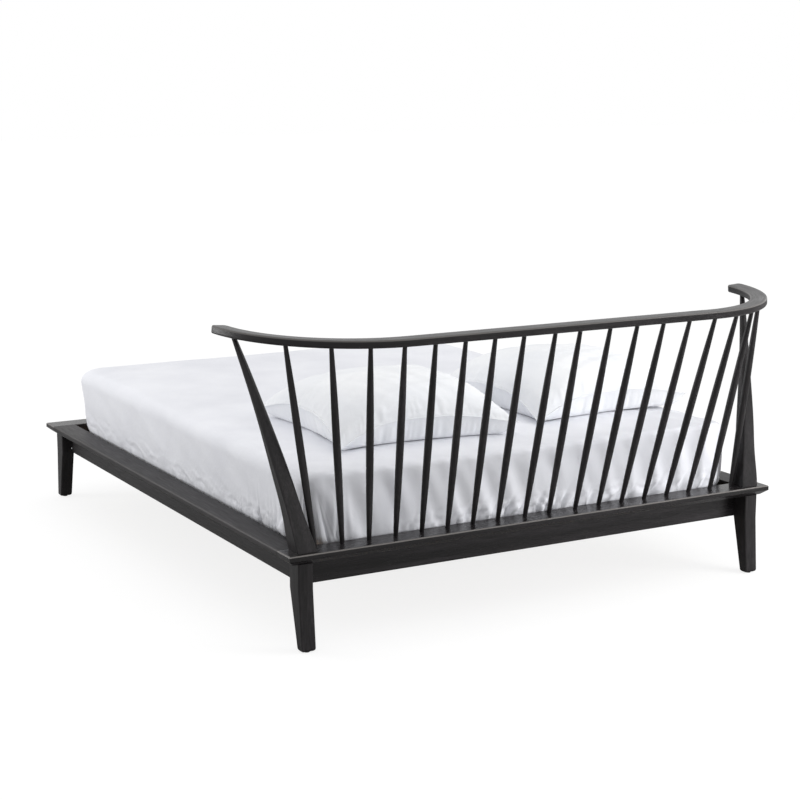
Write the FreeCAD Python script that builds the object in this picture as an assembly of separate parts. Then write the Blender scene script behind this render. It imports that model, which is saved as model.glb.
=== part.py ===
# Platform bed with a spindle headboard: a flat ledge on set-back aprons and tapered legs,
# turned spindles and two tapered posts under a crest rail that bends forward at both ends,
# slats on ledgers and a centre beam, a mattress and two pillows.
# Millimetres. +Z is up, +Y is the head end, +X is the right as seen from the foot end.
import FreeCAD, Part
import math
import os

os.makedirs("parts", exist_ok=True)

# Mattress and the well that it lies in
mattress_width = 1600.0
mattress_length = 2000.0
mattress_thickness = 250.0
mattress_margin = 10.0
mattress_corner_radius = 70.0
mattress_edge_radius = 45.0
mattress_base_inset = 26.0
mattress_crown = 12.0
mattress_crown_inset = 250.0

# Ledge boards
ledge_top_height = 300.0
ledge_board_width = 88.0
ledge_thickness = 32.0
ledge_bevel_width = 20.0
ledge_bevel_height = 16.0
ledge_arris_radius = 5.0
ledge_inner_arris_radius = 2.0

# Aprons
apron_recess = 75.0
apron_thickness = 24.0
apron_height = 80.0
apron_arris_radius = 2.0

# Legs: a straight block beside the aprons and a tapered foot below it that splays along the bed
leg_inset_side = 35.0
leg_inset_end = 16.0
leg_block_width = 49.0
leg_block_depth = 62.0
leg_foot_width = 47.0
leg_foot_depth = 35.0
leg_foot_splay = 15.0
leg_foot_draw = 2.0
leg_arris_radius = 5.0
leg_sole_round = 8.0

# Glides under the legs
glide_radius = 9.0
glide_thickness = 3.0

# Spindles
spindle_count = 18
spindle_middle_x = 45.6
spindle_foot_next_x = 146.9
spindle_foot_end_inset = 112.0
spindle_top_next_x = 158.0
spindle_top_end_inset = 99.8
spindle_line_inset = 62.5
spindle_foot_radius = 7.1
spindle_middle_radius = 11.7
spindle_top_radius = 6.6
spindle_foot_depth = 22.0
spindle_top_depth = 13.0
spindle_plain_length = 4.0
joinery_clearance = 0.1

# Crest rail, laid out flat and then tilted about its straight length
crest_height = 919.4
crest_width = 56.0
crest_thickness = 23.5
crest_setback = 92.0
crest_bend_inset = 351.0
crest_bend_radius = 427.5
crest_bend_degrees = 83.5
crest_arm_length = 31.0
crest_tilt_degrees = 1.94
crest_tip_radius = 14.0
crest_arris_radius = 5.0
crest_tongue_length = 28.0
crest_tongue_width = 30.0
crest_tongue_thickness = 9.0

# Corner posts: heights along the post, sides and corner roundness as shares, and how far the middle bows
post_foot_side = 63.5
post_foot_side_inset = 66.5
post_foot_end_inset = 48.8
post_top_degrees = 77.0
post_top_inward = 7.6
post_bow_back = 14.4
post_bow_inward = 4.3
post_tenon_radius = 12.0
post_tenon_depth = 20.0
post_top_depth = 13.0
post_height_shares = (0.0, 0.05, 0.13, 0.30, 0.50, 0.75, 1.0)
post_side_shares = (1.0, 0.97, 0.86, 0.745, 0.64, 0.455, 0.233)
post_round_shares = (0.08, 0.10, 0.16, 0.34, 0.64, 0.92, 0.96)

# Slats, the ledgers under their ends, and the centre beam with its cleats and legs
slat_count = 11
slat_width = 110.0
slat_thickness = 18.0
slat_end_margin = 15.0
slat_side_gap = 2.0
slat_arris_radius = 3.0
ledger_width = 30.0
ledger_height = 36.0
ledger_block_gap = 2.0
beam_width = 40.0
beam_height = 50.0
beam_end_gap = 0.2
cleat_width = 96.0
cleat_depth = 26.0
cleat_lip = 10.0
centre_leg_side = 45.0
centre_leg_spacing = 700.0
centre_leg_tenon_radius = 11.0
centre_leg_tenon_depth = 22.0

# Corner blocks, bolts and screws
block_reach = 50.0
block_nose = 14.0
bolt_radius = 4.0
bolt_clearance = 0.2
bolt_grip_in_leg = 34.0
bolt_spacing = 32.0
bolt_end_length = 4.0
washer_radius = 9.0
washer_thickness = 1.6
nut_across_corners = 15.0
nut_height = 6.5
screw_radius = 2.0
screw_head_radius = 4.0
screw_head_height = 2.4
ledger_screw_count = 6
ledger_screw_length = 45.0
ledger_screw_margin = 110.0
slat_screw_length = 34.0

# Pillows: stations along the length, widths and heights as shares
pillow_length = 650.0
pillow_width = 650.0
pillow_height = 185.0
pillow_seam_share = 0.43
pillow_left_x = -497.0
pillow_left_back = 247.0
pillow_right_x = 263.0
pillow_right_back = 150.0
pillow_station_shares = (0.0, 0.03, 0.12, 0.30, 0.50, 0.70, 0.88, 0.97, 1.0)
pillow_width_shares = (0.90, 0.97, 0.97, 0.95, 0.94, 0.95, 0.97, 0.97, 0.90)
pillow_height_shares = (0.06, 0.24, 0.55, 0.90, 1.0, 0.90, 0.55, 0.24, 0.06)
rest_gap = 0.3

# Levels and half sizes that follow
overrun = 1.0
ledge_bottom = ledge_top_height - ledge_thickness
well_half_x = mattress_width / 2 + mattress_margin
well_half_y = mattress_length / 2 + mattress_margin
platform_half_x = well_half_x + ledge_board_width
platform_half_y = well_half_y + ledge_board_width
apron_bottom = ledge_bottom - apron_height
apron_outer_x = platform_half_x - apron_recess
apron_outer_y = platform_half_y - apron_recess
apron_inner_x = apron_outer_x - apron_thickness
apron_inner_y = apron_outer_y - apron_thickness
leg_outer_x = platform_half_x - leg_inset_side
leg_outer_y = platform_half_y - leg_inset_end
leg_inner_x = leg_outer_x - leg_block_width
leg_inner_y = leg_outer_y - leg_block_depth
slat_bottom = ledge_bottom - slat_thickness
beam_bottom = slat_bottom - beam_height
mattress_bottom = ledge_bottom + rest_gap
mattress_top = mattress_bottom + mattress_thickness
spindle_y = platform_half_y - spindle_line_inset
post_foot_x = platform_half_x - post_foot_side_inset
post_foot_y = platform_half_y - post_foot_end_inset
crest_straight_half = platform_half_x - crest_bend_inset
crest_y = platform_half_y + crest_setback
crest_tilt = math.radians(crest_tilt_degrees)

# The two middle spindles stand upright and the others fan out evenly from the pair next to them
spindle_steps = spindle_count / 2 - 2
spindle_foot_pitch = (platform_half_x - spindle_foot_end_inset - spindle_foot_next_x) / spindle_steps
spindle_top_end = crest_straight_half + crest_bend_radius - spindle_top_end_inset
spindle_top_pitch = (spindle_top_end - spindle_top_next_x) / spindle_steps

# The crest's joints lie halfway between two spindles in its straight length
joint_steps = math.floor((crest_straight_half - spindle_top_next_x) / spindle_top_pitch - 0.5) + 0.5
crest_joint_half = spindle_top_next_x + joint_steps * spindle_top_pitch

# The post's round end starts below the crest by enough to clear its tilted underside
post_collar = spindle_plain_length

# The bounding box runs from the foot ledge to the back of the tilted crest, whose section is a rounded
# rectangle, and the origin lies on the floor below the middle of that box
crest_core_half = crest_width / 2 - crest_arris_radius
crest_core_rise = crest_thickness / 2 - crest_arris_radius
crest_reach = crest_core_half * math.cos(crest_tilt) + crest_core_rise * math.sin(crest_tilt)
crest_back = crest_y + crest_reach + crest_arris_radius
frame_shift = FreeCAD.Vector(0, (platform_half_y - crest_back) / 2, 0)


def vec(x, y, z):
    return FreeCAD.Vector(x, y, z)


def box(x0, x1, y0, y1, z0, z1):
    """A box between three pairs of coordinates."""
    return Part.makeBox(x1 - x0, y1 - y0, z1 - z0, vec(x0, y0, z0))


def prism(points, depth):
    """A polygon of points pushed out along a vector."""
    return Part.Face(Part.makePolygon(points + points[:1])).extrude(depth)


def mirror_x(shape):
    return shape.mirror(vec(0, 0, 0), vec(1, 0, 0))


def mirror_y(shape):
    return shape.mirror(vec(0, 0, 0), vec(0, 1, 0))


def four_corners(shape):
    """A shape and its mirror images, in the order head right, head left, foot right, foot left."""
    return [shape, mirror_x(shape), mirror_y(shape), mirror_x(mirror_y(shape))]


def same(a, b):
    return math.isclose(a, b, abs_tol=joinery_clearance / 100)


def edges_where(shape, test):
    """The edges of a shape all of whose ends pass a test."""
    return [edge for edge in shape.Edges if all(test(vertex.Point) for vertex in edge.Vertexes)]


def save(name, shape):
    """Move a finished shape into the part's own frame, write it and print what it is."""
    placed = shape.copy()
    placed.translate(frame_shift)
    placed.exportStep("parts/" + name + ".step")
    size = placed.BoundBox
    print(name, len(placed.Solids), placed.isValid(), size.XLength, size.YLength, size.ZLength)


def rounded_loop(x0, x1, y0, y1, z, radius):
    """A closed level loop of four corner arcs and four lines."""
    centres = [vec(x1 - radius, y1 - radius, z), vec(x0 + radius, y1 - radius, z)]
    centres += [vec(x0 + radius, y0 + radius, z), vec(x1 - radius, y0 + radius, z)]
    arcs = []
    for index, centre in enumerate(centres):
        angles = [math.radians(90 * index + turn) for turn in (0, 45, 90)]
        arcs.append([centre + vec(radius * math.cos(a), radius * math.sin(a), 0) for a in angles])
    edges = []
    for index, (start, middle, end) in enumerate(arcs):
        edges.append(Part.Arc(start, middle, end).toShape())
        edges.append(Part.LineSegment(end, arcs[(index + 1) % len(arcs)][0]).toShape())
    return Part.Wire(edges)


def turned(outline, point, axis):
    """A solid turned from an outline of (radius, height) corners and placed along an axis."""
    corners = [vec(radius, 0, height) for radius, height in outline]
    solid = Part.Face(Part.makePolygon(corners + corners[:1])).revolve(vec(0, 0, 0), vec(0, 0, 1), 360)
    solid.Placement = FreeCAD.Placement(point, FreeCAD.Rotation(vec(0, 0, 1), axis))
    return solid


# Ledge


def end_ledge():
    """The head board of the ledge, full width, with its bevel round three sides."""
    x = platform_half_x
    y0 = well_half_y
    y1 = platform_half_y
    land = ledge_bottom + ledge_bevel_height
    upper = box(-x, x, y0, y1, land, ledge_top_height)
    rim = edges_where(upper, lambda p: same(p.z, ledge_top_height))
    outer = [e for e in rim if e.CenterOfMass.y > y0 + overrun]
    upper = upper.makeFillet(ledge_arris_radius, outer)
    inner = edges_where(upper, lambda p: same(p.z, ledge_top_height) and same(p.y, y0))
    upper = upper.makeFillet(ledge_inner_arris_radius, inner)
    loops = []
    for inset, z in ((ledge_bevel_width, ledge_bottom), (0, land)):
        loop = [vec(inset - x, y0, z), vec(x - inset, y0, z)]
        loop += [vec(x - inset, y1 - inset, z), vec(inset - x, y1 - inset, z)]
        loops.append(Part.makePolygon(loop + loop[:1]))
    return upper.fuse(Part.makeLoft(loops, True, True)).removeSplitter()


def side_ledge():
    """The right board of the ledge, between the end boards."""
    x0 = well_half_x
    x1 = platform_half_x
    land = ledge_bottom + ledge_bevel_height
    profile = [(x0, ledge_bottom), (x1 - ledge_bevel_width, ledge_bottom), (x1, land)]
    profile += [(x1, ledge_top_height), (x0, ledge_top_height)]
    board = prism([vec(x, -well_half_y, z) for x, z in profile], vec(0, 2 * well_half_y, 0))
    for x, radius in ((x1, ledge_arris_radius), (x0, ledge_inner_arris_radius)):
        arris = edges_where(board, lambda p: same(p.z, ledge_top_height) and same(p.x, x))
        board = board.makeFillet(radius, arris)
    return board


# Aprons


def soften_bottom(board):
    """Round the two long bottom edges of an apron."""
    low_edges = edges_where(board, lambda p: same(p.z, apron_bottom))
    return board.makeFillet(apron_arris_radius, [e for e in low_edges if e.Length > mattress_width / 2])


def end_apron():
    """The head apron, between the inner faces of the legs."""
    board = box(-leg_inner_x, leg_inner_x, apron_inner_y, apron_outer_y, apron_bottom, ledge_bottom)
    return soften_bottom(board).cut(bolt_bores())


def side_apron():
    """The right apron, notched round the ends of the end aprons and butted to the legs."""
    board = box(apron_inner_x, apron_outer_x, -leg_inner_y, leg_inner_y, apron_bottom, ledge_bottom)
    board = soften_bottom(board)
    notch_x = (apron_inner_x - overrun, leg_inner_x)
    notch = box(*notch_x, apron_inner_y, leg_inner_y + overrun, apron_bottom - overrun, ledge_bottom + overrun)
    return board.cut([notch, mirror_y(notch)] + bolt_bores() + ledger_screws(joinery_clearance))


# Legs


def leg_ring(z, inner_x, outer_x, inner_y, outer_y, inset):
    sides = (inner_x + inset, outer_x - inset, inner_y + inset, outer_y - inset)
    return rounded_loop(*sides, z, leg_arris_radius)


def foot_section():
    """The plan of the foot at the floor."""
    outer_x = leg_outer_x - leg_foot_draw
    outer_y = leg_outer_y + leg_foot_splay
    return outer_x - leg_foot_width, outer_x, outer_y - leg_foot_depth, outer_y


def leg():
    """The head right leg."""
    sole = glide_thickness
    rings = [leg_ring(ledge_bottom, leg_inner_x, leg_outer_x, leg_inner_y, leg_outer_y, 0)]
    rings.append(leg_ring(apron_bottom, leg_inner_x, leg_outer_x, leg_inner_y, leg_outer_y, 0))
    for degrees in (0, 30, 60, 90):
        turn = math.radians(degrees)
        height = sole + leg_sole_round * (1 - math.sin(turn))
        rings.append(leg_ring(height, *foot_section(), leg_sole_round * (1 - math.cos(turn))))
    return Part.makeLoft(rings, True, True).cut(bolt_bores())


def glide_places():
    """The middles of the glides: four under the legs and two under the centre legs."""
    x0, x1, y0, y1 = foot_section()
    x = (x0 + x1) / 2
    y = (y0 + y1) / 2
    places = [(x, y), (-x, y), (x, -y), (-x, -y)]
    return places + [(0, centre_leg_spacing / 2), (0, -centre_leg_spacing / 2)]


def glides():
    return [Part.makeCylinder(glide_radius, glide_thickness, vec(x, y, 0)) for x, y in glide_places()]


# Corner blocks and the bolts that pull the legs against the aprons

diagonal = vec(1, 1, 0).normalize()
inner_corner = vec(apron_inner_x, apron_inner_y, 0)
bolt_levels = [(apron_bottom + slat_bottom) / 2 + side * bolt_spacing / 2 for side in (-1, 1)]
block_depth = (block_reach + block_nose) / math.sqrt(2)
leg_corner_depth = (leg_inner_y - apron_inner_y) * math.sqrt(2)


def corner_bolt_bores():
    """The two bores of the head right corner, right through the block, the aprons and into the leg."""
    radius = bolt_radius + bolt_clearance
    length = block_depth + leg_corner_depth + bolt_grip_in_leg + bolt_clearance + overrun
    start = inner_corner - diagonal * (block_depth + overrun)
    return [Part.makeCylinder(radius, length, start + vec(0, 0, z), diagonal) for z in bolt_levels]


def bolt_bores():
    bores = []
    for bore in corner_bolt_bores():
        bores += four_corners(bore)
    return bores


def corner_block():
    """The head right corner block, in the corner of the aprons and under the end slat."""
    plan = [(0, 0), (-block_reach, 0), (-block_reach, -block_nose)]
    plan += [(-block_nose, -block_reach), (0, -block_reach)]
    points = [inner_corner + vec(x, y, apron_bottom) for x, y in plan]
    return prism(points, vec(0, 0, slat_bottom - apron_bottom)).cut(corner_bolt_bores())


def leg_bolt(z):
    """One bolt with its washer and six-sided nut, for the head right leg."""
    seat_point = inner_corner + vec(0, 0, z) - diagonal * block_depth
    length = block_depth + leg_corner_depth + bolt_grip_in_leg
    tail = washer_thickness + nut_height + bolt_end_length
    rod = Part.makeCylinder(bolt_radius, tail + length, seat_point - diagonal * tail, diagonal)
    washer = Part.makeCylinder(washer_radius, washer_thickness, seat_point, diagonal * -1)
    nut_radius = nut_across_corners / 2
    corners = []
    for side in range(6):
        angle = math.radians(60 * side)
        corners.append(vec(nut_radius * math.cos(angle), nut_radius * math.sin(angle), 0))
    nut = prism(corners, vec(0, 0, nut_height))
    nut_point = seat_point - diagonal * washer_thickness
    nut.Placement = FreeCAD.Placement(nut_point, FreeCAD.Rotation(vec(0, 0, 1), diagonal * -1))
    return rod.fuse([washer, nut])


# Spindles


def crest_middle(x):
    """A point of the crest's middle line, in its own flat plane, at a distance from the bed's middle."""
    reach = max(abs(x) - crest_straight_half, 0)
    return vec(x, math.sqrt(crest_bend_radius ** 2 - reach ** 2) - crest_bend_radius, 0)


def tilted_point(point):
    y = point.y * math.cos(crest_tilt) + point.z * math.sin(crest_tilt)
    z = point.z * math.cos(crest_tilt) - point.y * math.sin(crest_tilt)
    return vec(point.x, crest_y + y, crest_height + z)


def below_crest(middle):
    """The point of the crest's underside that belongs to a point of its middle line."""
    return tilted_point(vec(middle.x, middle.y, -crest_thickness / 2))


def spindle_place(index, next_x, pitch):
    """How far a spindle's foot or head stands from the middle, from the next pair's place and the pitch."""
    place = index - (spindle_count - 1) / 2
    steps = abs(place) - 0.5
    distance = next_x + (steps - 1) * pitch if steps > 0 else spindle_middle_x
    return math.copysign(distance, place)


def spindle_line(index):
    """The foot of a spindle on the ledge and its head on the crest's underside."""
    foot = vec(spindle_place(index, spindle_foot_next_x, spindle_foot_pitch), spindle_y, ledge_top_height)
    return foot, below_crest(crest_middle(spindle_place(index, spindle_top_next_x, spindle_top_pitch)))


def spindle(index):
    """One turned spindle: a swelled shaft with a plain round end for each seat."""
    foot, head = spindle_line(index)
    length = (head - foot).Length
    low = vec(spindle_foot_radius, 0, spindle_plain_length)
    middle = vec(spindle_middle_radius, 0, length / 2)
    high = vec(spindle_top_radius, 0, length - spindle_plain_length)
    bottom = -spindle_foot_depth
    top = length + spindle_top_depth
    corners = [high, vec(spindle_top_radius, 0, top), vec(0, 0, top), vec(0, 0, bottom)]
    corners += [vec(spindle_foot_radius, 0, bottom), low]
    edges = [Part.LineSegment(a, b).toShape() for a, b in zip(corners, corners[1:])]
    edges.append(Part.Arc(low, middle, high).toShape())
    shaft = Part.Face(Part.Wire(edges)).revolve(vec(0, 0, 0), vec(0, 0, 1), 360)
    shaft.Placement = FreeCAD.Placement(foot, FreeCAD.Rotation(vec(0, 0, 1), head - foot))
    return shaft


def spindle_foot_seats():
    seats = []
    radius = spindle_foot_radius + joinery_clearance
    depth = spindle_foot_depth + joinery_clearance
    for index in range(spindle_count):
        foot, head = spindle_line(index)
        axis = (head - foot).normalize()
        start = foot - axis * depth
        seats.append(Part.makeCylinder(radius, depth + spindle_plain_length, start, axis))
    return seats


def spindle_head_seats():
    seats = []
    radius = spindle_top_radius + joinery_clearance
    depth = spindle_top_depth + joinery_clearance
    for index in range(spindle_count):
        foot, head = spindle_line(index)
        axis = (head - foot).normalize()
        start = head - axis * spindle_plain_length
        seats.append(Part.makeCylinder(radius, spindle_plain_length + depth, start, axis))
    return seats


# Corner posts


def post_line():
    """The right post's foot on the ledge and its head on the crest's underside."""
    angle = math.radians(post_top_degrees)
    radius = crest_bend_radius - post_top_inward
    reach = vec(radius * math.sin(angle), radius * math.cos(angle), 0)
    head = vec(crest_straight_half, -crest_bend_radius, 0) + reach
    return vec(post_foot_x, post_foot_y, ledge_top_height), below_crest(head)


def square_loop(middle, half, roundness):
    sides = (middle.x - half, middle.x + half, middle.y - half, middle.y + half)
    return rounded_loop(*sides, middle.z, half * roundness)


def post_round_end(extra):
    """The post's round end from just below the crest into its seat, widened by a clearance for the seat."""
    foot, head = post_line()
    climb = (head - foot) * (1 / (head.z - foot.z))
    half = post_foot_side * post_side_shares[-1] / 2 + extra
    ends = [head - climb * (post_collar + extra), head + climb * (post_top_depth + extra)]
    return Part.makeLoft([square_loop(point, half, post_round_shares[-1]) for point in ends], True, True)


def post_foot_tenon(extra):
    foot, head = post_line()
    return Part.makeCylinder(post_tenon_radius + extra, post_tenon_depth + extra, foot, vec(0, 0, -1))


def post():
    """The right post: square at the foot, round at the top and bowed between, with its two tenons."""
    foot, head = post_line()
    climb = (head - foot) * (1 / (head.z - foot.z))
    shoulder = head - climb * post_collar
    bow = vec(-post_bow_inward, post_bow_back, 0)
    loops = []
    for height, side, roundness in zip(post_height_shares, post_side_shares, post_round_shares):
        middle = foot + (shoulder - foot) * height + bow * (4 * height * (1 - height))
        loops.append(square_loop(middle, post_foot_side * side / 2, roundness))
    body = Part.makeLoft(loops, True, False)
    return body.fuse([post_foot_tenon(0), post_round_end(0)])


# Crest rail


def tilt(shape):
    """Lean a piece made in the crest's flat plane about its straight length and lift it into place."""
    leaned = shape.copy()
    leaned.rotate(vec(0, 0, 0), vec(1, 0, 0), -crest_tilt_degrees)
    leaned.translate(vec(0, crest_y, crest_height))
    return leaned


def crest_tongue(extra):
    """The tongue of the straight length at its right end, or its mortise when widened."""
    x0 = crest_joint_half - overrun
    x1 = crest_joint_half + crest_tongue_length + extra
    half_width = crest_tongue_width / 2 + extra
    half_height = crest_tongue_thickness / 2 + extra
    return box(x0, x1, -half_width, half_width, -half_height, half_height)


def crest_seats():
    """Every bore in the crest's underside."""
    post_seat = post_round_end(joinery_clearance)
    return spindle_head_seats() + [post_seat, mirror_x(post_seat)]


def crest_straight():
    """The straight middle length of the crest, with a tongue at each end."""
    half_width = crest_width / 2
    half_height = crest_thickness / 2
    rail = box(-crest_joint_half, crest_joint_half, -half_width, half_width, -half_height, half_height)
    rail = rail.makeFillet(crest_arris_radius, [e for e in rail.Edges if e.Length > crest_joint_half])
    rail = rail.fuse([crest_tongue(0), mirror_x(crest_tongue(0))])
    return tilt(rail).cut(spindle_head_seats())


def crest_bend():
    """The right bend of the crest: a short straight, the arc, and a short arm with a rounded tip."""
    half_width = crest_width / 2
    half_height = crest_thickness / 2
    centre = vec(crest_straight_half, -crest_bend_radius, -half_height)
    joint = crest_joint_half

    def rim(offset, share):
        angle = math.radians(crest_bend_degrees * share)
        radius = crest_bend_radius + offset
        return centre + vec(radius * math.sin(angle), radius * math.cos(angle), 0)

    turn = math.radians(crest_bend_degrees)
    onward = vec(math.cos(turn), -math.sin(turn), 0)
    arm = onward * crest_arm_length
    back_start = vec(joint, half_width, -half_height)
    front_start = vec(joint, -half_width, -half_height)
    edges = [
        Part.LineSegment(front_start, back_start).toShape(),
        Part.LineSegment(back_start, rim(half_width, 0)).toShape(),
        Part.Arc(rim(half_width, 0), rim(half_width, 0.5), rim(half_width, 1)).toShape(),
        Part.LineSegment(rim(half_width, 1), rim(half_width, 1) + arm).toShape(),
        Part.LineSegment(rim(half_width, 1) + arm, rim(-half_width, 1) + arm).toShape(),
        Part.LineSegment(rim(-half_width, 1) + arm, rim(-half_width, 1)).toShape(),
        Part.Arc(rim(-half_width, 1), rim(-half_width, 0.5), rim(-half_width, 0)).toShape(),
        Part.LineSegment(rim(-half_width, 0), front_start).toShape(),
    ]
    bend = Part.Face(Part.Wire(edges)).extrude(vec(0, 0, crest_thickness))
    upright = [e for e in bend.Edges if e.BoundBox.ZLength > half_height]
    tip = [e for e in upright if (e.CenterOfMass - rim(0, 1)).dot(onward) > crest_arm_length / 2]
    bend = bend.makeFillet(crest_tip_radius, tip)
    rims = [e for e in bend.Edges if e.BoundBox.ZLength < half_height and e.BoundBox.XMax > joint + overrun]
    bend = bend.makeFillet(crest_arris_radius, rims)
    return tilt(bend.cut(crest_tongue(joinery_clearance))).cut(crest_seats())


# Slats and their supports


def slat_places():
    reach = apron_inner_y - slat_end_margin - slat_width / 2
    return [reach * (2 * index / (slat_count - 1) - 1) for index in range(slat_count)]


def slat(y):
    x = apron_inner_x - slat_side_gap
    board = box(-x, x, y - slat_width / 2, y + slat_width / 2, slat_bottom, ledge_bottom)
    board = board.makeFillet(slat_arris_radius, [e for e in board.Edges if e.Length > x])
    return board.cut(slat_screws(joinery_clearance, [y]))


def ledger():
    """The right ledger, screwed to the apron between the corner blocks."""
    y = apron_inner_y - block_reach - ledger_block_gap
    bar = box(apron_inner_x - ledger_width, apron_inner_x, -y, y, slat_bottom - ledger_height, slat_bottom)
    return bar.cut(ledger_screws(joinery_clearance) + slat_screws(joinery_clearance, slat_places()))


def beam():
    y = apron_inner_y - beam_end_gap
    bar = box(-beam_width / 2, beam_width / 2, -y, y, beam_bottom, slat_bottom)
    sockets = []
    for place in (centre_leg_spacing / 2, -centre_leg_spacing / 2):
        radius = centre_leg_tenon_radius + joinery_clearance
        depth = centre_leg_tenon_depth + joinery_clearance
        sockets.append(Part.makeCylinder(radius, depth, vec(0, place, beam_bottom)))
    return bar.cut(sockets)


def cleat():
    """The head cleat: a block on the apron with a notch that the beam's end drops into."""
    y0 = apron_inner_y - cleat_depth
    low = beam_bottom - cleat_lip
    notch_half = beam_width / 2 + beam_end_gap
    solid = box(-cleat_width / 2, cleat_width / 2, y0, apron_inner_y, low, slat_bottom - beam_end_gap)
    notch_y = (y0 - overrun, apron_inner_y + overrun)
    return solid.cut(box(-notch_half, notch_half, *notch_y, beam_bottom, slat_bottom + overrun))


def centre_leg():
    """The centre leg nearer the head, with a round tenon in the beam."""
    half = centre_leg_side / 2
    y = centre_leg_spacing / 2
    shaft = Part.makeLoft([
        rounded_loop(-half, half, y - half, y + half, z, leg_arris_radius) for z in (glide_thickness, beam_bottom)
    ], True, True)
    tenon = Part.makeCylinder(centre_leg_tenon_radius, centre_leg_tenon_depth, vec(0, y, beam_bottom))
    return shaft.fuse(tenon)


# Screws


def screw(head, axis, length, extra):
    """A countersunk screw from its head's face along an axis, or its bore when widened."""
    shank = screw_radius + extra
    outline = [(0, -extra), (screw_head_radius + extra, -extra), (screw_head_radius + extra, 0)]
    outline += [(shank, screw_head_height + extra), (shank, length + extra), (0, length + extra)]
    if extra == 0:
        outline = [(0, 0), (screw_head_radius, 0), (shank, screw_head_height), (shank, length), (0, length)]
    return turned(outline, head, axis)


def ledger_screws(extra):
    """The screws through both ledgers into the side aprons, halfway between slats' screws in height."""
    y = apron_inner_y - ledger_screw_margin
    z = slat_bottom - ledger_height * 2 / 3
    screws = []
    for index in range(ledger_screw_count):
        place = y * (2 * index / (ledger_screw_count - 1) - 1)
        right = screw(vec(apron_inner_x - ledger_width, place, z), vec(1, 0, 0), ledger_screw_length, extra)
        screws += [right, mirror_x(right)]
    return screws


def slat_screws(extra, places):
    """The screws down through the slats' ends into the ledgers."""
    screws = []
    x = apron_inner_x - ledger_width / 2
    for y in places:
        right = screw(vec(x, y, ledge_bottom), vec(0, 0, -1), slat_screw_length, extra)
        screws += [right, mirror_x(right)]
    return screws


# Mattress and pillows


def mattress():
    """The mattress in its sheet: rounded edges, a base that is drawn in, and a low crown."""
    x = mattress_width / 2
    y = mattress_length / 2
    low = mattress_bottom
    high = mattress_top - mattress_crown
    radius = mattress_edge_radius
    rings = [(low, mattress_base_inset), (low + radius / 3, mattress_base_inset / 3), (low + radius, 0)]
    for degrees in range(0, 91, 15):
        angle = math.radians(degrees)
        rings.append((high - radius + radius * math.sin(angle), radius - radius * math.cos(angle)))
    rings.append((mattress_top, mattress_crown_inset))
    corner = mattress_corner_radius
    loops = [rounded_loop(i - x, x - i, i - y, y - i, z, corner) for z, i in rings]
    return Part.makeLoft(loops, True, True)


def pillow_slice(place, middle_y, half, low, seam, top):
    """One slice across a pillow: an oval of six arcs that is widest at the seam."""
    corners = []
    bulges = []
    for turn in (0, 45, 135, 180, 225, 315):
        corners.append((turn, top if turn < 180 else low))
    for turn in (22.5, 90, 157.5, 202.5, 270, 337.5):
        bulges.append((turn, top if turn < 180 else low))

    def point(turn, peak):
        angle = math.radians(turn)
        return vec(place, middle_y + half * math.cos(angle), seam + (peak - seam) * abs(math.sin(angle)))

    edges = []
    for index, bulge in enumerate(bulges):
        end = corners[(index + 1) % len(corners)]
        edges.append(Part.Arc(point(*corners[index]), point(*bulge), point(*end)).toShape())
    return Part.Wire(edges)


def pillow(x, back):
    """A pillow on the mattress: oval slices along its length, thin at both ends."""
    middle_y = mattress_length / 2 - back - pillow_width / 2
    base = mattress_top + rest_gap
    seam = base + pillow_height * pillow_seam_share
    loops = []
    for station, width, height in zip(pillow_station_shares, pillow_width_shares, pillow_height_shares):
        place = x + pillow_length * (station - 0.5)
        low = seam - pillow_height * pillow_seam_share * height
        top = seam + pillow_height * (1 - pillow_seam_share) * height
        loops.append(pillow_slice(place, middle_y, pillow_width * width / 2, low, seam, top))
    return Part.makeLoft(loops, True, False)


# Write every piece

head_board = end_ledge()
tenon_sockets = [post_foot_tenon(joinery_clearance), mirror_x(post_foot_tenon(joinery_clearance))]
save("ledge_head", head_board.cut(spindle_foot_seats() + tenon_sockets))
save("ledge_foot", mirror_y(head_board))
save("ledge_right", side_ledge())
save("ledge_left", mirror_x(side_ledge()))
save("apron_head", end_apron())
save("apron_foot", mirror_y(end_apron()))
save("apron_right", side_apron())
save("apron_left", mirror_x(side_apron()))
for place, shape in zip(("head_right", "head_left", "foot_right", "foot_left"), four_corners(leg())):
    save("leg_" + place, shape)
save("post_right", post())
save("post_left", mirror_x(post()))
for number in range(spindle_count):
    save("spindle_%02d" % (number + 1), spindle(number))
save("crest_centre", crest_straight())
save("crest_right", crest_bend())
save("crest_left", mirror_x(crest_bend()))
for number, place in enumerate(slat_places()):
    save("slat_%02d" % (number + 1), slat(place))
save("slat_ledger_right", ledger())
save("slat_ledger_left", mirror_x(ledger()))
save("centre_beam", beam())
save("beam_cleats", Part.makeCompound([cleat(), mirror_y(cleat())]))
save("centre_leg_head", centre_leg())
save("centre_leg_foot", mirror_y(centre_leg()))
save("corner_blocks", Part.makeCompound(four_corners(corner_block())))
bolts = []
for level in bolt_levels:
    bolts += four_corners(leg_bolt(level))
save("leg_bolts", Part.makeCompound(bolts))
save("ledger_screws", Part.makeCompound(ledger_screws(0)))
save("slat_screws", Part.makeCompound(slat_screws(0, slat_places())))
save("foot_glides", Part.makeCompound(glides()))
save("mattress", mattress())
save("pillow_left", pillow(pillow_left_x, pillow_left_back))
save("pillow_right", pillow(pillow_right_x, pillow_right_back))
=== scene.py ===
# %% [markdown]
# # A platform bed with a spindle headboard
# A low bed in black-stained ash carries a mattress in a white fitted sheet and two pillows. The wooden
# frame comes from the CAD model and is only given its finish here. The crest rail, the bedding and the
# light are made below, each in a step of its own.

import bpy
import numpy as np
from mathutils import Matrix


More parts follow.
